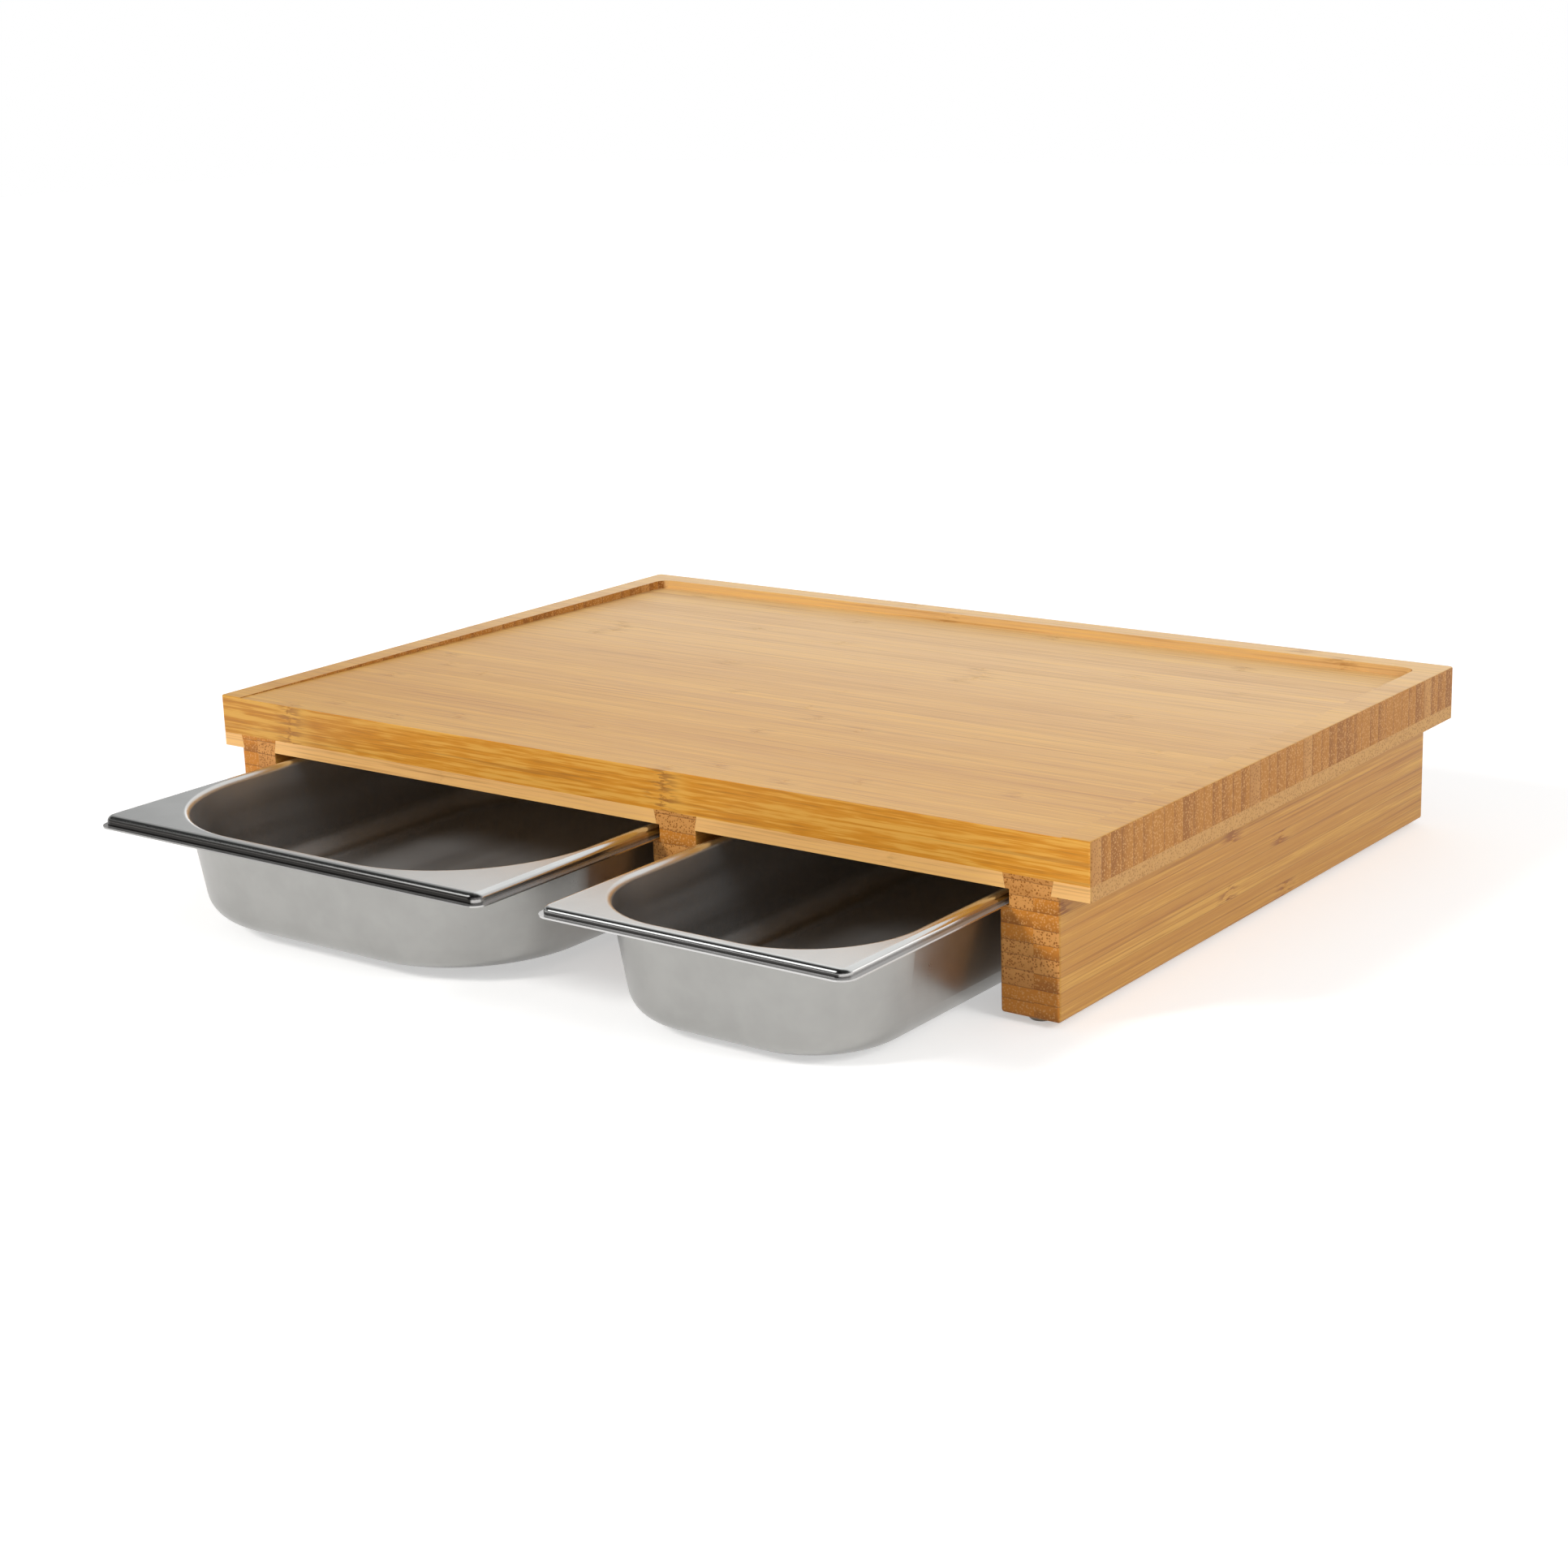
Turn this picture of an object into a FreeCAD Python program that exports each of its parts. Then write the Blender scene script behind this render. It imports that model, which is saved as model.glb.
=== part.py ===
import FreeCAD, Part
import Sketcher
import os

# Cutting board with drawer trays.
# A bamboo board with a milled, sloping cutting floor stands on three dovetailed rails.
# Two pressed steel trays hang by their flanges in the slots between the rails.
# Frame: +X right, +Y back, +Z up; z = 0 under the feet; origin below the middle of the
# whole object with both trays drawn out.

DRIVING = (
    ("board_depth", 386.0, "board, front to back"),
    ("core_thick", 21.2, "upright strip core"),
    ("ply_thick", 7.3, "flat ply under the core, also the depth of the dovetails"),
    ("rim_width", 15.0, "rim left standing on three sides"),
    ("floor_front", 0.4, "depth of the milled floor at the open front"),
    ("floor_back", 5.0, "depth of the milled floor at the back wall"),
    ("cutter_radius", 8.0, "inner corners of the milled floor"),
    ("front_corner", 1.5, "front corners of the board"),
    ("back_corner", 3.0, "back corners of the board"),
    ("board_ease", 0.8, "easing of the top edges"),
    ("left_overhang", 13.8, "board beyond the left rail"),
    ("right_overhang", 16.4, "board beyond the right rail"),
    ("left_thick", 36.0, "left rail, side to side"),
    ("right_thick", 31.6, "right rail, side to side"),
    ("rail_height", 59.9, "rail below the board"),
    ("rail_ease", 1.6, "easing of the rails' outer edges"),
    ("middle_neck", 22.8, "middle rail between its two slots"),
    ("left_slot", 9.8, "flange slot, into the left rail"),
    ("slot_deep", 5.4, "flange slots, into the other rails"),
    ("slot_high", 8.0, "flange slot, below the board"),
    ("seam_left", 12.7, "left rail, outer ply"),
    ("seam_middle", 13.6, "middle rail, left ply"),
    ("seam_right", 18.0, "right rail, inner ply"),
    ("left_tail", 14.0, "left dovetail's centre from the rail's outer face"),
    ("middle_tail", 15.6, "middle dovetail's centre from the rail's left face"),
    ("right_tail", 15.3, "right dovetail's centre from the rail's inner face"),
    ("dovetail_top", 27.0, "dovetail at the glue line"),
    ("dovetail_base", 24.1, "dovetail at the underside"),
    ("dovetail_fit", 0.05, "clearance on each dovetail flank"),
    ("foot_high", 3.2, "rubber foot below the rail"),
    ("foot_radius", 6.0, "rubber foot"),
    ("foot_ease", 0.8, "chamfer round the foot"),
    ("foot_inset", 11.0, "foot centre from the rail's end"),
    ("tray_length", 325.0, "both trays, front to back"),
    ("half_width", 265.0, "wide tray"),
    ("third_width", 176.0, "narrow tray"),
    ("half_out", 131.2, "wide tray drawn out of the board's front"),
    ("third_out", 125.0, "narrow tray drawn out of the board's front"),
    ("half_near", 1.4, "wide tray to the middle rail's neck"),
    ("half_far", 6.8, "wide tray to the left rail's neck"),
    ("third_near", 0.8, "narrow tray to the right rail's neck"),
    ("third_far", 3.8, "narrow tray to the middle rail's neck"),
    ("tray_run", 0.1, "running clearance of a hem above its shelf"),
    ("half_deep", 55.6, "wide tray, flange to underside"),
    ("third_deep", 56.2, "narrow tray, flange to underside"),
    ("sheet", 0.8, "tray steel"),
    ("half_lip", 6.0, "turned-down edge of the wide tray"),
    ("third_lip", 4.6, "turned-down edge of the narrow tray"),
    ("half_roll", 3.2, "bend at the top of the wide tray's edge"),
    ("third_roll", 2.4, "bend at the top of the narrow tray's edge"),
    ("hem_out", 2.4, "hem standing out at the foot of the edge"),
    ("flange_corner", 8.0, "outer corners of the flange"),
    ("basin_side", 9.2, "hem to basin, sides"),
    ("basin_end", 10.6, "hem to basin, front and back"),
    ("half_corner", 80.0, "basin corners of the wide tray"),
    ("third_corner", 55.0, "basin corners of the narrow tray"),
    ("basin_taper", 8.6, "degrees, walls from upright"),
    ("basin_bend", 14.0, "inside bend between wall and floor"),
    ("mouth_bend", 3.0, "bend from flange into the basin"),
    ("magnet_long", 40.0, "knife magnet along the edge"),
    ("magnet_wide", 5.0, "knife magnet into the board"),
    ("magnet_high", 12.0, "knife magnet, upright"),
    ("magnet_skin", 2.0, "wood left outside a magnet"),
    ("magnet_pitch", 46.0, "magnet to magnet"),
    ("magnet_fit", 0.1, "clearance around a magnet"),
    ("magnet_back", 16.0, "last magnet's end from the board's back"),
)

DERIVED = (
    ("board_width", "=left_overhang + left_thick - left_slot + half_far + half_width"
     " + half_near + middle_neck + third_far + third_width + third_near"
     " - slot_deep + right_thick + right_overhang"),
    ("board_right", "=board_width / 2"),
    ("reach", "=max(half_out; third_out)"),
    ("board_front", "=(reach - board_depth) / 2"),
    ("board_back", "=board_front + board_depth"),
    ("underside", "=foot_high + rail_height"),
    ("glue_line", "=underside + ply_thick"),
    ("board_top", "=glue_line + core_thick"),
    ("shelf", "=underside - slot_high"),
    ("right_out", "=board_right - right_overhang"),
    ("right_in", "=right_out - right_thick"),
    ("right_mid", "=right_in + right_tail"),
    ("third_x", "=right_in + slot_deep - third_near - third_width / 2"),
    ("middle_in", "=third_x - third_width / 2 - third_far + slot_deep"),
    ("middle_out", "=middle_in - middle_neck - 2 * slot_deep"),
    ("middle_mid", "=middle_out + middle_tail"),
    ("half_x", "=middle_out + slot_deep - half_near - half_width / 2"),
    ("left_out", "=left_overhang - board_right"),
    ("left_in", "=left_out + left_thick"),
    ("left_mid", "=left_out + left_tail"),
    ("hem_level", "=shelf + tray_run"),
    ("tail_top", "=dovetail_top / 2 - dovetail_fit"),
    ("tail_base", "=dovetail_base / 2 - dovetail_fit"),
    ("magnet_first", "=board_back - magnet_back - magnet_long - 3 * magnet_pitch"),
)

MAGNETS = 4

doc = FreeCAD.newDocument("board_with_trays")
sizes = doc.addObject("Spreadsheet::Sheet", "Sizes")


def fill_sizes():
    """Writes every size once, driving ones first, then those that follow from them."""
    row = 1
    for alias, value, note in DRIVING:
        sizes.set("A%d" % row, alias)
        sizes.set("B%d" % row, str(value))
        sizes.set("C%d" % row, note)
        sizes.setAlias("B%d" % row, alias)
        row += 1
    doc.recompute()
    for alias, formula in DERIVED:
        sizes.set("A%d" % row, alias)
        sizes.set("B%d" % row, formula)
        sizes.setAlias("B%d" % row, alias)
        doc.recompute()
        row += 1


NAMES = [item[0] for item in DRIVING] + [item[0] for item in DERIVED]


def bound(words):
    """Puts the sheet's name before every size named in an expression."""
    out = ""
    word = ""
    for letter in words + " ":
        if letter.isalnum() or letter == "_":
            word += letter
            continue
        out += ("Sizes." + word if word in NAMES else word) + letter
        word = ""
    return out.strip()


def value(words):
    """Number that an expression gives now."""
    return float(sizes.evalExpression(bound(words)))


def new_body(name):
    body = doc.addObject("PartDesign::Body", name)
    body.Label = name
    return body


def plane(body, role):
    for item in body.Origin.OriginFeatures:
        if item.Role == role:
            return item
    raise ValueError(role)


def new_sketch(body, name, role, offset):
    """Sketch on a plane of the body's origin, moved along its normal by an expression."""
    sketch = body.newObject("Sketcher::SketchObject", name)
    sketch.AttachmentSupport = [(plane(body, role), "")]
    sketch.MapMode = "FlatFace"
    sketch.setExpression("AttachmentOffset.Base.z", bound(offset))
    doc.recompute()
    return sketch


def pin(sketch, kind, geometry, point, words):
    """Holds one coordinate of a point by an expression."""
    index = sketch.addConstraint(
        Sketcher.Constraint(kind, -1, 1, geometry, point, value(words))
    )
    sketch.setExpression("Constraints[%d]" % index, bound(words))


def outline(sketch, corners):
    """Closed straight-sided outline; each corner is a pair of expressions."""
    points = [FreeCAD.Vector(value(a), value(b), 0) for a, b in corners]
    count = len(points)
    for i in range(count):
        sketch.addGeometry(Part.LineSegment(points[i], points[(i + 1) % count]), False)
    for i in range(count):
        sketch.addConstraint(Sketcher.Constraint("Coincident", i, 2, (i + 1) % count, 1))
    for i, (a, b) in enumerate(corners):
        pin(sketch, "DistanceX", i, 1, a)
        pin(sketch, "DistanceY", i, 1, b)
    doc.recompute()


def rounded(sketch, cx, cy, width, length, radius):
    """Adds a rectangle with round corners about (cx, cy); all five are expressions."""
    x, y = value(cx), value(cy)
    w, d = value(width) / 2, value(length) / 2
    r = value(radius)
    vec = FreeCAD.Vector
    first = sketch.GeometryCount
    lines = (
        (vec(x - w + r, y - d, 0), vec(x + w - r, y - d, 0)),
        (vec(x + w, y - d + r, 0), vec(x + w, y + d - r, 0)),
        (vec(x + w - r, y + d, 0), vec(x - w + r, y + d, 0)),
        (vec(x - w, y + d - r, 0), vec(x - w, y - d + r, 0)),
    )
    centres = (
        vec(x + w - r, y - d + r, 0),
        vec(x + w - r, y + d - r, 0),
        vec(x - w + r, y + d - r, 0),
        vec(x - w + r, y - d + r, 0),
    )
    half_pi = 1.5707963267948966
    for start, end in lines:
        sketch.addGeometry(Part.LineSegment(start, end), False)
    for i, centre in enumerate(centres):
        circle = Part.Circle(centre, vec(0, 0, 1), r)
        sketch.addGeometry(
            Part.ArcOfCircle(circle, (i - 1) * half_pi, i * half_pi), False
        )
    for i in range(4):
        sketch.addConstraint(Sketcher.Constraint("Tangent", first + i, 2, first + 4 + i, 1))
        sketch.addConstraint(
            Sketcher.Constraint("Tangent", first + 4 + i, 2, first + (i + 1) % 4, 1)
        )
    for i in range(3):
        sketch.addConstraint(Sketcher.Constraint("Equal", first + 4 + i, first + 5 + i))
    sketch.addConstraint(Sketcher.Constraint("Horizontal", first))
    index = sketch.addConstraint(Sketcher.Constraint("Radius", first + 4, r))
    sketch.setExpression("Constraints[%d]" % index, bound(radius))
    pin(sketch, "DistanceY", first, 1, "(%s) - (%s) / 2" % (cy, length))
    pin(sketch, "DistanceY", first + 2, 1, "(%s) + (%s) / 2" % (cy, length))
    pin(sketch, "DistanceX", first + 1, 1, "(%s) + (%s) / 2" % (cx, width))
    pin(sketch, "DistanceX", first + 3, 1, "(%s) - (%s) / 2" % (cx, width))
    doc.recompute()


def pad(body, name, sketch, length, down=False, taper=None):
    feature = body.newObject("PartDesign::Pad", name)
    feature.Profile = sketch
    feature.setExpression("Length", bound(length))
    feature.Reversed = down
    if taper:
        feature.setExpression("TaperAngle", bound(taper))
    sketch.Visibility = False
    doc.recompute()
    return feature


def pocket(body, name, sketch, length, up=False, taper=None, both=False):
    feature = body.newObject("PartDesign::Pocket", name)
    feature.Profile = sketch
    feature.setExpression("Length", bound(length))
    feature.Reversed = up
    feature.Midplane = both
    if taper:
        feature.setExpression("TaperAngle", bound(taper))
    sketch.Visibility = False
    doc.recompute()
    return feature


def edges_where(shape, test):
    """Names of the edges whose extent passes a test of (x0, y0, z0, x1, y1, z1)."""
    found = []
    for i, edge in enumerate(shape.Edges):
        points = edge.discretize(9)
        low = [min(p[axis] for p in points) for axis in range(3)]
        high = [max(p[axis] for p in points) for axis in range(3)]
        if test(*(low + high)):
            found.append("Edge%d" % (i + 1))
    return found


def ease(body, name, base, radius, test):
    """Rounds the edges that pass the test."""
    names = edges_where(base.Shape, test)
    if not names:
        raise ValueError("no edge to round for " + name)
    feature = body.newObject("PartDesign::Fillet", name)
    feature.Base = (base, names)
    feature.setExpression("Radius", bound(radius))
    doc.recompute()
    return feature


def near(a, b, slack=0.02):
    return abs(a - b) < slack


def make_floor_cutter():
    """Solid that the mill sweeps out: round back corners, floor falling to the back."""
    body = new_body("floor_cutter")
    plan = new_sketch(body, "cutter_plan", "XY_Plane", "board_top - floor_back - 4")
    rounded(plan, "0", "(board_front - 40 + board_back - rim_width) / 2",
            "board_width - 2 * rim_width", "board_depth + 40 - rim_width", "cutter_radius")
    pad(body, "cutter_block", plan, "floor_back + 9")
    side = new_sketch(body, "cutter_side", "YZ_Plane", "0")
    slope = "(floor_back - floor_front) / (board_depth - rim_width)"
    outline(side, (
        ("board_front - 50", "board_top - floor_back - 8"),
        ("board_back", "board_top - floor_back - 8"),
        ("board_back", "board_top - floor_back - rim_width * " + slope),
        ("board_front - 50", "board_top - floor_front + 50 * " + slope),
    ))
    pocket(body, "cutter_slope", side, "2 * board_width", both=True)
    return body


def make_core():
    """Upright strip core with its sloping milled floor and the magnets' pockets."""
    body = new_body("board_core")
    top, front, back = value("board_top"), value("board_front"), value("board_back")
    plan = new_sketch(body, "core_plan", "XY_Plane", "glue_line")
    outline(plan, (
        ("-board_right", "board_front"),
        ("board_right", "board_front"),
        ("board_right", "board_back"),
        ("-board_right", "board_back"),
    ))
    slab = pad(body, "core_slab", plan, "core_thick")
    slab = ease(body, "core_front_corners", slab, "front_corner",
                lambda x0, y0, z0, x1, y1, z1: near(y1, front) and z1 - z0 > 1)
    slab = ease(body, "core_back_corners", slab, "back_corner",
                lambda x0, y0, z0, x1, y1, z1: near(y0, back) and z1 - z0 > 1)
    slab = ease(body, "core_top_easing", slab, "board_ease",
                lambda x0, y0, z0, x1, y1, z1: near(z0, top) and near(z1, top))
    floor = body.newObject("PartDesign::Boolean", "milled_floor")
    floor.Type = "Cut"
    floor.setObjects([make_floor_cutter()])
    doc.recompute()
    seats = new_sketch(body, "magnet_seat", "XY_Plane", "glue_line")
    outline(seats, (
        ("board_right - magnet_skin - magnet_wide - magnet_fit", "magnet_first - magnet_fit"),
        ("board_right - magnet_skin + magnet_fit", "magnet_first - magnet_fit"),
        ("board_right - magnet_skin + magnet_fit", "magnet_first + magnet_long + magnet_fit"),
        ("board_right - magnet_skin - magnet_wide - magnet_fit",
         "magnet_first + magnet_long + magnet_fit"),
    ))
    seat = pocket(body, "magnet_pocket", seats, "magnet_high + magnet_fit", up=True)
    row = body.newObject("PartDesign::LinearPattern", "magnet_pockets")
    row.Originals = [seat]
    row.Direction = (plane(body, "Y_Axis"), [""])
    row.setExpression("Length", bound("magnet_pitch * %d" % (MAGNETS - 1)))
    row.Occurrences = MAGNETS
    body.Tip = row
    doc.recompute()
    return body


def make_ply(name, left, right, left_tail, right_tail):
    """One strip of the flat ply; an edge that meets a dovetail leans with it.
    left and right are the strip's edges, or the centres of the dovetails there."""
    body = new_body(name)
    face = new_sketch(body, name + "_section", "XZ_Plane", "-board_back")
    low_left, high_left = left, left
    low_right, high_right = right, right
    if left_tail:
        low_left = left + " + dovetail_base / 2"
        high_left = left + " + dovetail_top / 2"
    if right_tail:
        low_right = right + " - dovetail_base / 2"
        high_right = right + " - dovetail_top / 2"
    outline(face, (
        (low_left, "underside"),
        (low_right, "underside"),
        (high_right, "glue_line"),
        (high_left, "glue_line"),
    ))
    strip = pad(body, name + "_strip", face, "board_depth")
    front, back = value("board_front"), value("board_back")
    reach = value("board_right")
    if not (left_tail and right_tail):
        strip = ease(body, name + "_front_corner", strip, "front_corner",
                     lambda x0, y0, z0, x1, y1, z1: near(y1, front) and z1 - z0 > 1
                     and near(abs(x0), reach))
        strip = ease(body, name + "_back_corner", strip, "back_corner",
                     lambda x0, y0, z0, x1, y1, z1: near(y0, back) and z1 - z0 > 1
                     and near(abs(x0), reach))
    return body


def make_rail_ply(name, corners):
    """One ply of a rail; the outline's first corner is on the side that is eased."""
    body = new_body(name)
    face = new_sketch(body, name + "_section", "XZ_Plane", "-board_back")
    outline(face, corners)
    ply = pad(body, name + "_blank", face, "board_depth")
    low = value("foot_high")
    side = value(corners[0][0])

    def rounded_off(x0, y0, z0, x1, y1, z1):
        foot_long = near(z0, low) and near(z1, low) and near(x0, x1) and near(x0, side)
        foot_end = near(z0, low) and near(z1, low) and near(y0, y1)
        upright = near(z0, low) and z1 - z0 > 20 and near(x0, x1) and near(x0, side)
        return foot_long or foot_end or upright

    ply = ease(body, name + "_easing", ply, "rail_ease", rounded_off)
    return body


def make_rails():
    """Left, middle and right rail, two plies each, with sliding dovetails on top."""
    make_rail_ply("left_rail_outer", (
        ("left_out", "foot_high"),
        ("left_out + seam_left", "foot_high"),
        ("left_out + seam_left", "glue_line"),
        ("left_mid - tail_top", "glue_line"),
        ("left_mid - tail_base", "underside"),
        ("left_out", "underside"),
    ))
    make_rail_ply("left_rail_inner", (
        ("left_in", "foot_high"),
        ("left_in", "shelf"),
        ("left_in - left_slot", "shelf"),
        ("left_in - left_slot", "underside"),
        ("left_mid + tail_base", "underside"),
        ("left_mid + tail_top", "glue_line"),
        ("left_out + seam_left", "glue_line"),
        ("left_out + seam_left", "foot_high"),
    ))
    make_rail_ply("middle_rail_left", (
        ("middle_out", "foot_high"),
        ("middle_out + seam_middle", "foot_high"),
        ("middle_out + seam_middle", "glue_line"),
        ("middle_mid - tail_top", "glue_line"),
        ("middle_mid - tail_base", "underside"),
        ("middle_out + slot_deep", "underside"),
        ("middle_out + slot_deep", "shelf"),
        ("middle_out", "shelf"),
    ))
    make_rail_ply("middle_rail_right", (
        ("middle_in", "foot_high"),
        ("middle_in", "shelf"),
        ("middle_in - slot_deep", "shelf"),
        ("middle_in - slot_deep", "underside"),
        ("middle_mid + tail_base", "underside"),
        ("middle_mid + tail_top", "glue_line"),
        ("middle_out + seam_middle", "glue_line"),
        ("middle_out + seam_middle", "foot_high"),
    ))
    make_rail_ply("right_rail_inner", (
        ("right_in", "foot_high"),
        ("right_in + seam_right", "foot_high"),
        ("right_in + seam_right", "glue_line"),
        ("right_mid - tail_top", "glue_line"),
        ("right_mid - tail_base", "underside"),
        ("right_in + slot_deep", "underside"),
        ("right_in + slot_deep", "shelf"),
        ("right_in", "shelf"),
    ))
    make_rail_ply("right_rail_outer", (
        ("right_out", "foot_high"),
        ("right_out", "underside"),
        ("right_mid + tail_base", "underside"),
        ("right_mid + tail_top", "glue_line"),
        ("right_in + seam_right", "glue_line"),
        ("right_in + seam_right", "foot_high"),
    ))


def make_tray(name, x, width, out, lip, roll, corner, deep):
    """Pressed tray: flange with a turned-down, hemmed edge and a tapered basin."""
    body = new_body(name)
    y = "(board_front - %s + tray_length / 2)" % out
    top = "hem_level + " + lip
    flat = "2 * hem_out"
    skirt = new_sketch(body, name + "_flange_plan", "XY_Plane", "hem_level")
    rounded(skirt, x, y, "%s - %s" % (width, flat), "tray_length - " + flat,
            "flange_corner - hem_out")
    flange = pad(body, name + "_flange", skirt, lip)
    under = new_sketch(body, name + "_under_plan", "XY_Plane", "hem_level")
    rounded(under, x, y, "%s - %s - 2 * sheet" % (width, flat),
            "tray_length - %s - 2 * sheet" % flat, "flange_corner - hem_out - sheet")
    hollow = pocket(body, name + "_under_flange", under, lip + " - sheet", up=True)
    level = value(top)
    inner = level - value("sheet")
    hollow = ease(body, name + "_under_bend", hollow, roll + " - sheet",
                  lambda x0, y0, z0, x1, y1, z1: near(z0, inner) and near(z1, inner))
    ease(body, name + "_lip_bend", hollow, roll,
         lambda x0, y0, z0, x1, y1, z1: near(z0, level) and near(z1, level))
    rim = new_sketch(body, name + "_hem_plan", "XY_Plane", "hem_level")
    rounded(rim, x, y, width, "tray_length", "flange_corner")
    rounded(rim, x, y, "%s - %s - 2 * sheet" % (width, flat),
            "tray_length - %s - 2 * sheet" % flat, "flange_corner - hem_out - sheet")
    hem = pad(body, name + "_hem", rim, "sheet")
    mouth = new_sketch(body, name + "_basin_plan", "XY_Plane", top)
    rounded(mouth, x, y, "%s - 2 * basin_side + 2 * sheet" % width,
            "tray_length - 2 * basin_end + 2 * sheet", corner + " + sheet")
    basin = pad(body, name + "_basin", mouth, deep, down=True, taper="-basin_taper")
    reach = value(width) / 2 - value("basin_side") + value("sheet") + 0.1
    ends = value("tray_length") / 2 - value("basin_end") + value("sheet") + 0.1
    cx, cy = value(x), value(y)

    def within(x0, y0, x1, y1):
        return abs(x0 - cx) < reach and abs(x1 - cx) < reach and abs(y0 - cy) < ends \
            and abs(y1 - cy) < ends

    basin = ease(body, name + "_throat", basin, "mouth_bend - sheet",
                 lambda x0, y0, z0, x1, y1, z1: near(z0, inner) and near(z1, inner)
                 and within(x0, y0, x1, y1))
    inside = new_sketch(body, name + "_inside_plan", "XY_Plane", top)
    rounded(inside, x, y, "%s - 2 * basin_side" % width, "tray_length - 2 * basin_end", corner)
    well = pocket(body, name + "_inside", inside, deep + " - sheet", taper="-basin_taper")
    base = level - value(deep)
    floor = base + value("sheet")
    well = ease(body, name + "_inner_bend", well, "basin_bend",
                lambda x0, y0, z0, x1, y1, z1: near(z0, floor) and near(z1, floor))
    well = ease(body, name + "_outer_bend", well, "basin_bend + sheet",
                lambda x0, y0, z0, x1, y1, z1: near(z0, base) and near(z1, base))
    well = ease(body, name + "_mouth_bend", well, "mouth_bend",
                lambda x0, y0, z0, x1, y1, z1: near(z0, level) and near(z1, level)
                and within(x0, y0, x1, y1))
    return body


def make_magnets():
    """Row of block magnets that sits in the core's pockets above the edge ply."""
    blocks = []
    for i in range(MAGNETS):
        block = doc.addObject("Part::Box", "magnet_%d" % (i + 1))
        block.setExpression("Length", bound("magnet_wide"))
        block.setExpression("Width", bound("magnet_long"))
        block.setExpression("Height", bound("magnet_high"))
        block.setExpression("Placement.Base.x", bound("board_right - magnet_skin - magnet_wide"))
        block.setExpression("Placement.Base.y", bound("magnet_first + magnet_pitch * %d" % i))
        block.setExpression("Placement.Base.z", bound("glue_line"))
        blocks.append(block)
    row = doc.addObject("Part::Compound", "knife_magnets")
    row.Label = "knife_magnets"
    row.Links = blocks
    doc.recompute()
    return row


def make_foot(name, x, y):
    """Round rubber foot glued under a rail, its lower edge chamfered."""
    body = new_body(name)
    disc = body.newObject("Sketcher::SketchObject", name + "_disc")
    disc.AttachmentSupport = [(plane(body, "XY_Plane"), "")]
    disc.MapMode = "FlatFace"
    radius = value("foot_radius")
    disc.addGeometry(Part.Circle(FreeCAD.Vector(0, 0, 0), FreeCAD.Vector(0, 0, 1), radius), False)
    disc.addConstraint(Sketcher.Constraint("Coincident", 0, 3, -1, 1))
    index = disc.addConstraint(Sketcher.Constraint("Radius", 0, radius))
    disc.setExpression("Constraints[%d]" % index, bound("foot_radius"))
    doc.recompute()
    foot = pad(body, name + "_pad", disc, "foot_high")
    edge = body.newObject("PartDesign::Chamfer", name + "_edge")
    edge.Base = (foot, edges_where(
        foot.Shape, lambda x0, y0, z0, x1, y1, z1: near(z0, 0) and near(z1, 0)))
    edge.setExpression("Size", bound("foot_ease"))
    body.setExpression("Placement.Base.x", bound(x))
    body.setExpression("Placement.Base.y", bound(y))
    doc.recompute()
    return body


def make_feet():
    for side in ("left", "middle", "right"):
        make_foot(side + "_front_foot", side + "_mid", "board_front + foot_inset")
        make_foot(side + "_back_foot", side + "_mid", "board_back - foot_inset")


def write_parts():
    """Checks every object, then writes each finished body under its own name."""
    for item in doc.Objects:
        for word in item.State:
            if word in ("Invalid", "Error"):
                raise ValueError("%s is %s" % (item.Name, word))
    os.makedirs("parts", exist_ok=True)
    for item in doc.Objects:
        finished = item.isDerivedFrom("PartDesign::Body") and item.Label != "floor_cutter"
        if not finished and item.Label != "knife_magnets":
            continue
        if item.Shape.isNull() or not item.Shape.isValid():
            raise ValueError(item.Label + " has no sound shape")
        item.Shape.exportStep("parts/%s.step" % item.Label)


fill_sizes()
make_core()
make_ply("left_edge_ply", "-board_right", "left_mid", False, True)
make_ply("left_bay_ply", "left_mid", "middle_mid", True, True)
make_ply("right_bay_ply", "middle_mid", "right_mid", True, True)
make_ply("right_edge_ply", "right_mid", "board_right", True, False)
make_magnets()
make_rails()
make_feet()
make_tray("half_tray", "half_x", "half_width", "half_out", "half_lip", "half_roll",
          "half_corner", "half_deep")
make_tray("third_tray", "third_x", "third_width", "third_out", "third_lip",
          "third_roll", "third_corner", "third_deep")
doc.recompute()
write_parts()
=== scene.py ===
import math

import bpy
from mathutils import Matrix, Vector


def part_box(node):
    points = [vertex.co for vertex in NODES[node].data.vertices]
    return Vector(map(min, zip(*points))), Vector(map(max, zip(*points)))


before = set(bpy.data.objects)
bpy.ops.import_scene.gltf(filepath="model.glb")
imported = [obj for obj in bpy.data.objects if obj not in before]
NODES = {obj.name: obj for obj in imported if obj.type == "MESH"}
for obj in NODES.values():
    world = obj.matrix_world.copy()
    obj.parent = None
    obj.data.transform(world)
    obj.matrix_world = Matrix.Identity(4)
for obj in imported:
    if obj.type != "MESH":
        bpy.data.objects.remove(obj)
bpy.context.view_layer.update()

CORE_LOW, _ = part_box("board_core")
WIDE_LOW, WIDE_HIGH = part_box("half_tray")
NARROW_LOW, NARROW_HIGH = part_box("third_tray")
PLY_LOW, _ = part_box("left_bay_ply")

# lengths in metres, angles in degrees, colours as linear red, green, blue
CAMERA_PLACE = (0.88035, -1.13675, 0.44520)
CAMERA_BACK = (0.58399, -0.76681, 0.26636)
CAMERA_TURN = 37.29
CAMERA_ROLL = -1.93
LENS_MM = 63.81
SENSOR_MM = 36.0

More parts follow.
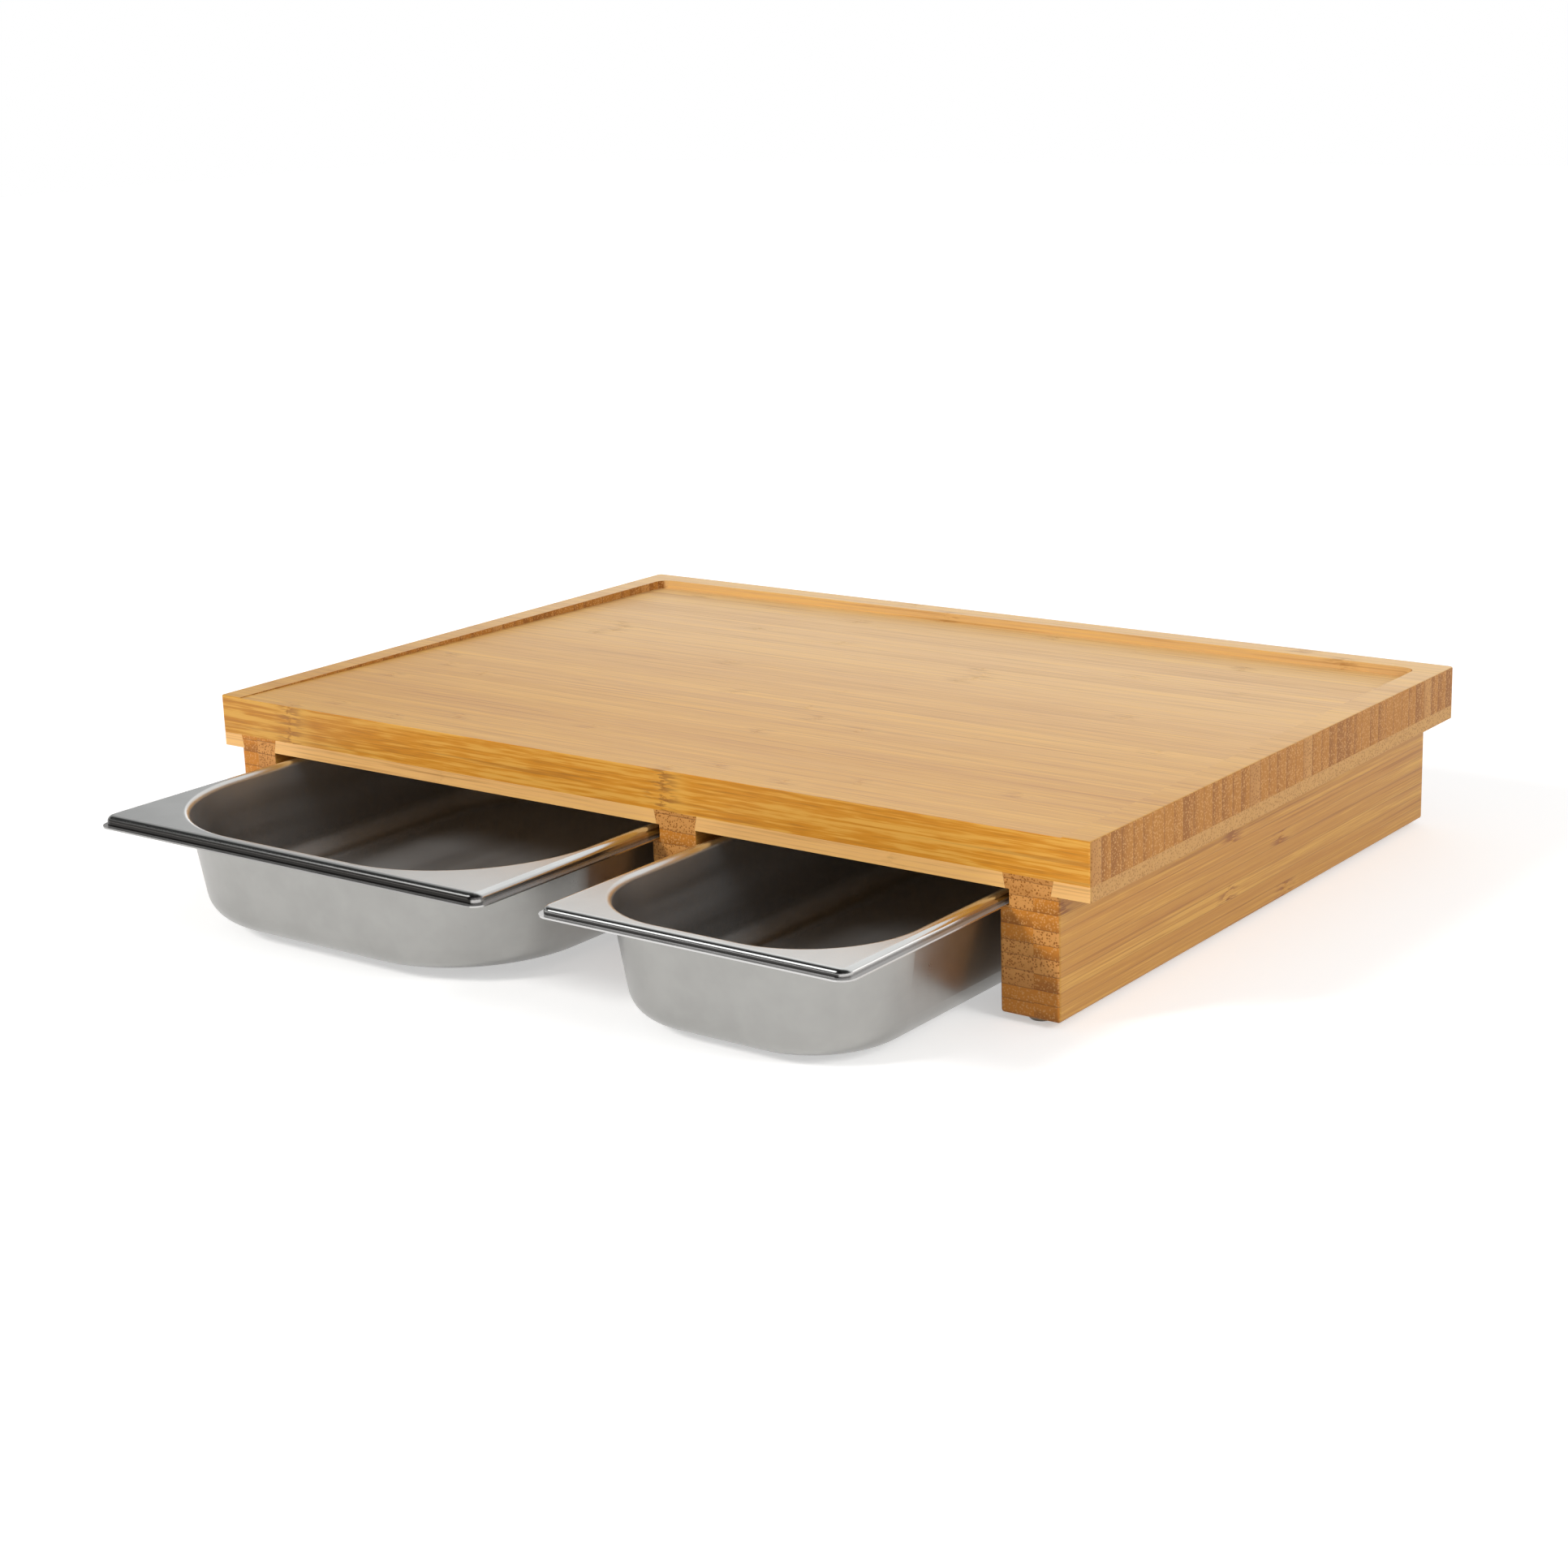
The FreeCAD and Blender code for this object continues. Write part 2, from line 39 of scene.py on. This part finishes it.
STRIP_PALE = (0.590, 0.300, 0.058)
STRIP_HONEY = (0.670, 0.264, 0.016)
# painted shade: the darker tone the front face takes towards its left end
LEFT_END_PAINTED_SHADE = (0.30, 0.12, 0.008)
# painted sheen: the paler tone the ground takes towards the back
PAINTED_SHEEN_TONE = (0.95, 0.72, 0.42)
STRIP_END = (0.440, 0.180, 0.028)
PLY_TONE = (0.84, 0.425, 0.105)
PLY_END = (0.47, 0.235, 0.060)
RAIL_TONE = (0.52, 0.250, 0.045)
RAIL_END = (0.57, 0.205, 0.021)
FIBRE_LIGHT = (0.95, 0.60, 0.14)
FIBRE_DARK = (0.38, 0.14, 0.018)
PORE = (0.34, 0.130, 0.022)
FLECK = (0.30, 0.105, 0.018)
NODE_RING = (0.33, 0.110, 0.014)
GLUE_SEAM = (0.16, 0.050, 0.010)
END_DARK = (0.20, 0.060, 0.008)
END_LIGHT = (0.82, 0.50, 0.20)

# painted shade on the walls' satin, painted light on the inside tint
WALL_SATIN_PAINTED_DARK = ((0.355, 0.350, 0.336), (0.390, 0.385, 0.370))
INSIDE_PAINTED_LIFT = (0.500, 0.505, 0.510)
FLANGE = ((0.640, 0.648, 0.636), (0.690, 0.699, 0.688))
SIDE_LIP = (0.52, 0.51, 0.50)
# painted shade in the lip's fold
FOLD_PAINTED_SHADE = (0.020, 0.019, 0.018)
SCRATCH = (0.72, 0.71, 0.69)
RUBBER = ((0.300, 0.250, 0.195), (0.420, 0.380, 0.330))
PLATING = ((0.60, 0.58, 0.54), (0.72, 0.71, 0.69))

FLOOR_REACH = 6.0
FLOOR_TONE = (0.78, 0.78, 0.78)
ROOM_LEVEL = 0.50        # what matt surfaces get from the room
ROOM_SEEN_AGAIN = 1.1    # what metal gets from it on a path that left a matt surface


# ---------------------------------------------------------------- camera

def place_camera():
    """Looks from the front right, a little above the board, rolled by a small angle."""
    turn = math.radians(CAMERA_TURN)
    roll = math.radians(CAMERA_ROLL)
    across = Vector((math.cos(turn), math.sin(turn), 0.0))
    away = Vector(CAMERA_BACK).normalized()
    above = away.cross(across)
    right = math.cos(roll) * across + math.sin(roll) * above
    up = math.cos(roll) * above - math.sin(roll) * across
    data = bpy.data.cameras.new("camera")
    data.lens = LENS_MM
    data.sensor_width = SENSOR_MM
    data.sensor_fit = "HORIZONTAL"
    data.clip_start = 0.05
    camera = bpy.data.objects.new("camera", data)
    turned = Matrix((right, up, away)).transposed().to_4x4()
    camera.matrix_world = Matrix.Translation(CAMERA_PLACE) @ turned
    bpy.context.scene.collection.objects.link(camera)
    bpy.context.scene.camera = camera


place_camera()


# ---------------------------------------------------------------- shader maths

class Wire:
    """One output socket; arithmetic on it adds Math nodes to its material."""

    def __init__(self, bench, socket):
        self.bench = bench
        self.socket = socket

    def sum(self, operation, *others):
        return self.bench.node("ShaderNodeMath", {"operation": operation}, [self, *others])

    def __add__(self, other):
        return self.sum("ADD", other)

    def __radd__(self, other):
        return self.sum("ADD", other)

    def __sub__(self, other):
        return self.sum("SUBTRACT", other)

    def __rsub__(self, other):
        return self.bench.node("ShaderNodeMath", {"operation": "SUBTRACT"}, [other, self])

    def __mul__(self, other):
        return self.sum("MULTIPLY", other)

    def __rmul__(self, other):
        return self.sum("MULTIPLY", other)

    def __truediv__(self, other):
        return self.sum("DIVIDE", other)

    def __abs__(self):
        return self.sum("ABSOLUTE")

    def floor(self):
        return self.sum("FLOOR")

    def fract(self):
        return self.sum("FRACT")

    def sin(self):
        return self.sum("SINE")

    def smaller(self, other):
        return self.sum("MINIMUM", other)

    def larger(self, other):
        return self.sum("MAXIMUM", other)

    def fade(self, start, end):
        """0 at start, 1 at end, smooth between them; start may be above end."""
        return self.bench.node(
            "ShaderNodeMapRange", {"interpolation_type": "SMOOTHSTEP"},
            {"Value": self, "From Min": start, "From Max": end, "To Min": 0.0, "To Max": 1.0})


class Bench:
    """One material, with its shader and its one way to make a node."""

    def __init__(self, name):
        self.material = bpy.data.materials.new(name)
        self.material.use_nodes = True
        self.tree = self.material.node_tree
        self.tree.nodes.clear()
        self.shader = self.tree.nodes.new("ShaderNodeBsdfPrincipled")
        end = self.tree.nodes.new("ShaderNodeOutputMaterial")
        self.tree.links.new(self.shader.outputs[0], end.inputs[0])

    def feed(self, socket, value):
        if isinstance(value, Wire):
            self.tree.links.new(value.socket, socket)
        elif isinstance(value, tuple) and len(value) == 3 and socket.type == "RGBA":
            socket.default_value = (*value, 1.0)
        else:
            socket.default_value = value

    def node(self, kind, settings=None, inputs=None, out=0):
        """Makes a node: its settings first, then what goes into it."""
        made = self.tree.nodes.new(kind)
        for key, value in (settings or {}).items():
            setattr(made, key, value)
        pairs = inputs.items() if isinstance(inputs, dict) else enumerate(inputs or ())
        for key, value in pairs:
            self.feed(made.inputs[key], value)
        if out is None:
            return made
        return Wire(self, made.outputs[out])

    def parts(self, vector):
        made = self.node("ShaderNodeSeparateXYZ", inputs=[vector], out=None)
        return [Wire(self, made.outputs[i]) for i in range(3)]

    def vector(self, x, y, z):
        return self.node("ShaderNodeCombineXYZ", inputs=[x, y, z])

    def mix(self, share, first, second):
        """Colour between first and second."""
        made = self.node("ShaderNodeMix", {"data_type": "RGBA"}, out=None)
        self.feed(made.inputs[0], share)
        self.feed(made.inputs[6], first)
        self.feed(made.inputs[7], second)
        return Wire(self, made.outputs[2])

    def noise(self, vector, scale=1.0, detail=2.0, rough=0.5):
        return self.node("ShaderNodeTexNoise", inputs={
            "Vector": vector, "Scale": scale, "Detail": detail, "Roughness": rough})

    def luck(self, number):
        """Three random values that stay the same for one whole number."""
        made = self.node("ShaderNodeTexWhiteNoise", {"noise_dimensions": "1D"},
                         {"W": number}, out=None)
        return self.parts(Wire(self, made.outputs[1]))

    def bump(self, height, strength, distance):
        return self.node("ShaderNodeBump", inputs={
            "Height": height, "Strength": strength, "Distance": distance})

    def finish(self, **values):
        for key, value in values.items():
            self.feed(self.shader.inputs[key.replace("_", " ")], value)
        return self.material


# ---------------------------------------------------------------- bamboo

def bamboo(name, seed, grain, stack, pitch, start, pale, deep, end, internode, rich,
           marks, first=None):
    """Oiled bamboo strips glued side by side.

    grain and stack are the axes (0 to 2) the strips run and follow one another along.
    Strip number = whole part of (place - start) / pitch, waved a little so that widths
    differ. Every strip has its own tone and its own nodes, one every internode metres.
    pale is the tone of the ground, which is painted paler towards the back as a painted sheen;
    deep is that of the outer faces of the first and last strip. first is where a node lies on
    strip 0, whose face is also painted darker towards the left as painted shade.
    marks is how dark the pores, flecks and fibre ends are. Faces across the grain show
    round fibre ends, crowded on the share rich of the strips and soft on the rest.
    """
    bench = Bench(name)
    place = bench.node("ShaderNodeTexCoord", out=3)
    facing = bench.node("ShaderNodeTexCoord", out=1)
    xyz = bench.parts(place)
    turned = bench.parts(facing)
    cross = 3 - grain - stack
    along, over, deepness = xyz[grain], xyz[stack], xyz[cross]
    reach = over - start

    # cut: faces across the grain; side: faces between strips; skin: the outer ones of them
    cut = abs(turned[grain]).fade(0.55, 0.8)
    side = abs(turned[stack]).fade(0.55, 0.8)
    skin = side * reach.fade(0.006, 0.003).larger(reach.fade(0.380, 0.384))

    count = reach / pitch
    count = count + (count * 1.9 + seed).sin() * 0.07
    strip = count.floor()
    within = count - strip
    tone, dense, phase = bench.luck(strip + seed * 13.7)
    own = 0.0 if first is None else abs(strip).fade(0.4, 0.1)

    # long fibres: four noises stretched along the grain, shifted from strip to strip
    slide = strip * 3.17
    broad = bench.noise(bench.vector(along * 7 + slide, over * 380, deepness * 380), 1, 3, 0.6)
    fibre = bench.noise(bench.vector(along * 10 + slide, over * 1000, deepness * 1000), 1, 3, 0.6)
    dash = bench.noise(bench.vector(along * 48 + slide, over * 820, deepness * 820), 1, 2, 0.5)
    patch = bench.noise(bench.vector(along * 2.2 + slide, over * 55, deepness * 55), 1, 2, 0.5)
    streak = (broad - 0.5) * 0.9 + (fibre - 0.5) * 1.7 + (dash - 0.5) * (0.5 + skin * 0.9)
    streak = streak + (tone - 0.5) * 0.26 + (patch - 0.5) * 0.55

    # ground painted paler towards the back as a painted sheen, with light and dark streaks and
    # fine pores in it
    ground = bench.mix(reach.fade(0.04, 0.40) * 0.34, pale, PAINTED_SHEEN_TONE)
    ground = bench.mix(skin, ground, deep)
    # painted shade: the outer face of strip 0 darkened towards the left end
    if first is not None:
        ground = bench.mix(skin * along.fade(-0.13, -0.25) * 0.40, ground, LEFT_END_PAINTED_SHADE)
    light = bench.mix(0.45, ground, FIBRE_LIGHT)
    dark = bench.mix(0.60, ground, FIBRE_DARK)
    strength = 0.60 + skin * 0.25
    lengthways = bench.mix(streak.fade(-0.02, 0.40) * strength, ground, light)
    lengthways = bench.mix(streak.fade(0.02, -0.40) * strength, lengthways, dark)
    line = bench.noise(bench.vector(along * 6 + slide, over * 560, deepness * 560), 1, 1, 0.5)
    pores = line.fade(0.37, 0.29) * (0.20 + marks * 0.45)
    lengthways = bench.mix(pores, lengthways, PORE)

    # nodes of the cane: a row of brown specks, flecks drawn along the grain, a paler zone
    offset = phase * internode
    if first is not None:
        offset = offset * (1 - own) + own * first
    signed = (((along - offset) / internode + 0.5).fract() - 0.5) * internode
    gap = abs(signed + (dash - 0.5) * 0.0120)
    clear = tone.fade(0.40, 0.60).larger(own)
    speck = bench.noise(bench.vector(along * 420, over * 700, deepness * 700), 1, 2, 0.6)
    smear = bench.noise(bench.vector(along * 70 + slide, over * 560, deepness * 560), 1, 2, 0.6)
    ring = gap.fade(0.0024, 0.0006) * speck.fade(0.48, 0.57) * clear
    fleck = gap.fade(0.0140, 0.0015) * smear.fade(0.48, 0.57) * clear
    glow = (signed - 0.004).fade(0.016, 0.004) * (signed - 0.004).fade(-0.012, 0.0) * clear
    lengthways = bench.mix(glow * (0.16 + skin * 0.3), lengthways, light)
    lengthways = bench.mix(fleck * (marks + skin * 0.3), lengthways, FLECK)
    lengthways = bench.mix(ring * (0.20 + skin * 0.4), lengthways, NODE_RING)

    # glue seams, and round fibre ends that darken towards one side of every strip
    edge = 0.5 - abs(within - 0.5)
    seam = (edge * pitch).fade(0.00034, 0.00010)
    cells = bench.node("ShaderNodeTexVoronoi", {"feature": "F1"}, {
        "Vector": bench.vector(along * 0, over, deepness), "Scale": 820.0, "Randomness": 0.8})
    dots = cells.fade(0.50, 0.26)
    crowd = dense.fade(1.0 - rich, 1.04 - rich).larger(own)
    blur = bench.noise(bench.vector(along * 30, over * 420, deepness * 260), 1, 2, 0.6)
    end_dark = bench.mix(0.70, end, END_DARK)
    end_light = bench.mix(0.60, end, END_LIGHT)
    shade = (0.62 - within + (blur - 0.5) * 1.2 + (tone - 0.5) * 1.2).fade(-0.1, 0.9)
    plain = bench.mix(shade * 0.80, end, end_dark)
    plain = bench.mix(dots * 0.60, plain, end_light)
    crowded = bench.mix(0.50, end, end_light)
    crowded = bench.mix(dots * (0.50 + marks * 0.53), crowded, end_dark)
    crowded = bench.mix(shade * 0.30, crowded, end_dark)
    across = bench.mix(crowd, plain, crowded)

    colour = bench.mix(cut, lengthways, across)
    colour = bench.mix(seam * (0.26 + cut * 0.30) * (1 - side), colour, GLUE_SEAM)
    height = fibre * 0.35 * (1 - cut) - dots * 0.3 * cut - seam * 0.6 - ring * 0.1
    return bench.finish(
        Base_Color=colour,
        Roughness=0.44 + (fibre - 0.5) * 0.18 + cut * 0.14 + ring * 0.1,
        Specular_IOR_Level=0.42,
        Normal=bench.bump(height, 0.35, 0.00025))


# ---------------------------------------------------------------- metal, rubber

def tray_steel(name, low, high, roll, depth, lip, hem):
    """Satin stainless sheet: basin walls painted darker than the flange as painted shade, inside
    painted lighter and cooler as painted light, its edge polished.

    low and high are the tray's box, roll and depth how far down the edge's bend and its
    lip reach, lip and hem the tones of the front lip, painted dark as painted reflection, and
    of the fold that ends it, painted as a lighter line of painted reflection.
    The share of polish is 1 outside a line 4.6 mm inside the tray's edge and fades inwards.
    Below the roll, down to the hem, painted shade darkens the front lip most and the side lips a
    little.
    Roughness = satin + cloudy noise + a faint drawing of the walls. The inside, which is
    scoured, is hazier than the outside, and most of all on the floor and in its bend.
    """
    bench = Bench(name)
    place = bench.node("ShaderNodeTexCoord", out=3)
    x, y, z = bench.parts(place)
    turned = bench.parts(bench.node("ShaderNodeTexCoord", out=1))

    # masks: polish near the edge, flange by height, inside by which way a wall faces
    middle = (low + high) / 2
    half = (high - low) / 2
    inset = (half.x - abs(x - middle.x)).smaller(half.y - abs(y - middle.y))
    polish = inset.fade(0.0062, 0.0046)
    wall = abs(turned[2]).fade(0.80, 0.35)
    flange = (z - (high.z - 0.0012)).fade(-0.0010, 0.0004)
    inside = turned[2] * 0.02 - turned[0] * (x - middle.x) - turned[1] * (y - middle.y)
    inside = inside.fade(0.0, 0.006) * (1 - flange)
    bend = turned[2].fade(0.20, 0.45) * turned[2].fade(0.92, 0.70) * inside
    floor = turned[2].fade(0.90, 0.99) * inside
    drop = high.z - z
    # painted shade: a dark band down the lip between the roll and the hem
    fold_shade = drop.fade(roll * 0.70, roll * 0.95) * drop.fade(depth - 0.0008, depth - 0.0013)
    folded = drop.fade(depth - 0.0012, depth - 0.0008)
    front = turned[0].fade(0.45, 0.25)

    # marks of the press, the scourer and use
    cloud = bench.noise(place, 38, 3, 0.6)
    grit = bench.noise(place, 1900, 2, 0.6)
    drawn = bench.noise(bench.vector(x * 110, y * 110, z * 9), 1, 2, 0.5)
    scratch = bench.noise(bench.vector(x * 60, y * 2300, z * 900), 1, 2, 0.5).fade(0.66, 0.78)
    bands = bench.noise(bench.vector(x * 55, y * 2.5, z * 55), 1, 2, 0.5)

    rough = 0.30 + (cloud - 0.5) * 0.08 + (grit - 0.5) * 0.04 + (drawn - 0.5) * wall * 0.04
    rough = rough + inside * 0.08
    rough = rough * (1 - polish) + polish * (0.19 - front * 0.04 + (cloud - 0.5) * 0.05)
    hazy = (cloud - 0.5).fade(-0.2, 0.2)
    # painted shade: walls darker than the flange of the same sheet; painted light: the inside
    # lighter and cooler against its dark brown reflections
    satin = bench.mix(inside, bench.mix(hazy, *WALL_SATIN_PAINTED_DARK), INSIDE_PAINTED_LIFT)
    tint = bench.mix(flange, satin, bench.mix(hazy, *FLANGE))
    # painted reflection: the front lip dark, the hem a lighter line below it
    edge = bench.mix(front, SIDE_LIP, lip)
    edge = bench.mix(folded * front, edge, hem)
    edge = bench.mix(fold_shade * (0.2 + front * 0.7), edge, FOLD_PAINTED_SHADE)
    tint = bench.mix(polish * (1 - flange), tint, edge)
    tint = bench.mix(scratch * 0.18 * flange, tint, SCRATCH)
    haze = 0.03 + floor * 0.27 + bands.fade(0.35, 0.65) * 0.11 + bend * 0.24
    height = grit * 0.25 + scratch * flange * 0.2
    return bench.finish(
        Base_Color=tint,
        Metallic=1 - inside * haze,
        Roughness=rough,
        Normal=bench.bump(height * (1 - polish), 0.06, 0.00008))


def foot_rubber():
    """Pale clouded rubber, faintly dusty, with a fine moulded grain."""
    bench = Bench("clouded_rubber")
    place = bench.node("ShaderNodeTexCoord", out=3)
    grain = bench.noise(place, 2600, 3, 0.6)
    dust = bench.noise(place, 240, 3, 0.6)
    colour = bench.mix(dust.fade(0.45, 0.75) * 0.5, *RUBBER)
    return bench.finish(Base_Color=colour, Roughness=0.45 + (dust - 0.5) * 0.2,
                        Normal=bench.bump(grain, 0.3, 0.0001))


def magnet_plating():
    """Nickel plating with tumbled scuffs."""
    bench = Bench("nickel_plating")
    place = bench.node("ShaderNodeTexCoord", out=3)
    scuff = bench.noise(place, 900, 3, 0.7)
    colour = bench.mix(scuff, *PLATING)
    return bench.finish(Base_Color=colour, Metallic=1.0, Roughness=0.18 + scuff * 0.2,
                        Normal=bench.bump(scuff, 0.1, 0.0001))


def wear(node, material):
    """Gives a node its one material."""
    mesh = NODES[node].data
    mesh.materials.clear()
    mesh.materials.append(material)


wear("board_core", bamboo(
    "core_strips", seed=3.0, grain=0, stack=1, pitch=0.0094, start=CORE_LOW.y - 0.0006,
    pale=STRIP_PALE, deep=STRIP_HONEY, end=STRIP_END, internode=0.2622, rich=0.10,
    marks=0.38, first=0.0365))

flat_ply = bamboo(
    "flat_ply", seed=8.0, grain=0, stack=1, pitch=1.0, start=PLY_LOW.y - 0.25,
    pale=PLY_TONE, deep=PLY_TONE, end=PLY_END, internode=0.2850, rich=1.0, marks=0.2)
for node in ("left_edge_ply", "left_bay_ply", "right_bay_ply", "right_edge_ply"):
    wear(node, flat_ply)

RAIL_PLIES = (
    ("left_rail_outer", 0.15), ("left_rail_inner", 0.75), ("middle_rail_left", 0.55),
    ("middle_rail_right", 0.55), ("right_rail_inner", 0.35), ("right_rail_outer", 0.75))
for number, (node, rich) in enumerate(RAIL_PLIES):
    wear(node, bamboo(
        node + "_strips", seed=21.0 + 5.3 * number, grain=1, stack=2, pitch=0.0072,
        start=0.0036, pale=RAIL_TONE, deep=RAIL_TONE, end=RAIL_END, internode=0.2450,
        rich=rich, marks=0.95))

# lip tones are painted dark reflection on the front lip, hem tones a painted lighter line
wear("half_tray", tray_steel(
    "wide_tray_steel", WIDE_LOW, WIDE_HIGH, roll=0.0032, depth=0.0060,
    lip=(0.10, 0.095, 0.09), hem=(0.34, 0.335, 0.33)))
wear("third_tray", tray_steel(
    "narrow_tray_steel", NARROW_LOW, NARROW_HIGH, roll=0.0024, depth=0.0046,
    lip=(0.42, 0.415, 0.41), hem=(0.60, 0.595, 0.59)))

rubber = foot_rubber()
for side in ("left", "middle", "right"):
    for end in ("front", "back"):
        wear("%s_%s_foot" % (side, end), rubber)
wear("knife_magnets", magnet_plating())


# ---------------------------------------------------------------- stage

def lay_floor():
    """Plain pale floor, a wide square, seen as white and more surely so far out."""
    reach = FLOOR_REACH
    mesh = bpy.data.meshes.new("floor")
    mesh.from_pydata([(-reach, -reach, 0), (reach, -reach, 0), (reach, reach, 0),
                      (-reach, reach, 0)], [], [(0, 1, 2, 3)])
    floor = bpy.data.objects.new("floor", mesh)
    bpy.context.scene.collection.objects.link(floor)
    bench = Bench("pale_floor")
    path = bench.node("ShaderNodeLightPath", out=None)
    seen = Wire(bench, path.outputs["Is Camera Ray"]).larger(
        Wire(bench, path.outputs["Is Glossy Ray"]))
    bench.finish(Base_Color=FLOOR_TONE, Roughness=0.9, Specular_IOR_Level=0.0,
                 Emission_Strength=1.0)
    x, y, _ = bench.parts(bench.node("ShaderNodeTexCoord", out=3))
    far = (x * x + y * y).sum("SQRT").fade(0.45, 1.6)
    glow = seen * (0.42 + far * 0.65)
    bench.feed(bench.shader.inputs["Emission Color"], bench.node(
        "ShaderNodeCombineColor", inputs=[glow, glow, glow]))
    mesh.materials.append(bench.material)


def hang_softbox(name, place, aim, size, power, tint):
    """Square soft light turned towards aim, power in watts."""
    data = bpy.data.lights.new(name, "AREA")
    data.shape = "SQUARE"
    data.size = size
    data.energy = power
    data.color = tint
    lamp = bpy.data.objects.new(name, data)
    turned = (Vector(aim) - Vector(place)).to_track_quat("-Z", "Y").to_matrix().to_4x4()
    lamp.matrix_world = Matrix.Translation(place) @ turned
    lamp.visible_glossy = False
    bpy.context.scene.collection.objects.link(lamp)


def light_room():
    """Pale even room. Metal sees it darker overhead in front, towards the viewer and to
    the left, with one soft bright patch where the left softbox hangs, and paler low down
    at the back."""
    world = bpy.data.worlds.new("room")
    bpy.context.scene.world = world
    world.use_nodes = True
    tree = world.node_tree
    tree.nodes.clear()
    bench = Bench.__new__(Bench)
    bench.tree = tree
    path = bench.node("ShaderNodeLightPath", out=None)
    camera = Wire(bench, path.outputs["Is Camera Ray"])
    glossy = Wire(bench, path.outputs["Is Glossy Ray"])
    fresh = Wire(bench, path.outputs["Diffuse Depth"]).fade(0.6, 0.4)
    east, north, up = bench.parts(bench.node("ShaderNodeTexCoord", out=0))
    overhead = up.fade(0.30, 0.50) * north.fade(0.45, 0.05)
    facing = (north * -0.80 + east * 0.60).fade(-0.10, 0.45) * up.fade(0.02, 0.12)
    left = (east * -0.80 - north * 0.60).fade(0.05, 0.25)
    patch = (up * 0.55 - east * 0.53 - north * 0.645).fade(0.966, 0.984)
    low = up.fade(0.220, 0.150) * north.fade(0.60, 0.78)
    mirror = (1.0 - overhead * 0.90) * (1.0 - facing * 0.80) * (1.0 - left * 0.58)
    mirror = mirror + patch * 2.2 + low * 1.5
    mirror = mirror * fresh + ROOM_SEEN_AGAIN * (1 - fresh)
    level = ROOM_LEVEL * (1 - glossy) + mirror * glossy
    level = level * (1 - camera) + camera
    background = bench.node(
        "ShaderNodeBackground", inputs={"Color": (1.0, 1.0, 1.0), "Strength": level}, out=None)
    end = tree.nodes.new("ShaderNodeOutputWorld")
    tree.links.new(background.outputs[0], end.inputs[0])


lay_floor()
light_room()
hang_softbox("left_softbox", (-1.80, -2.95, 2.35), (0.0, -0.05, 0.05), 0.85, 98.0,
             (1.0, 0.985, 0.96))
hang_softbox("right_softbox", (2.2, -0.3, 1.3), (0.1, 0.0, 0.05), 0.9, 24.0,
             (1.0, 0.99, 0.975))
hang_softbox("back_softbox", (-1.1, 1.9, 0.9), (0.0, 0.1, 0.08), 1.1, 3.0,
             (1.0, 0.99, 0.98))

scene = bpy.context.scene
scene.view_settings.view_transform = "Standard"
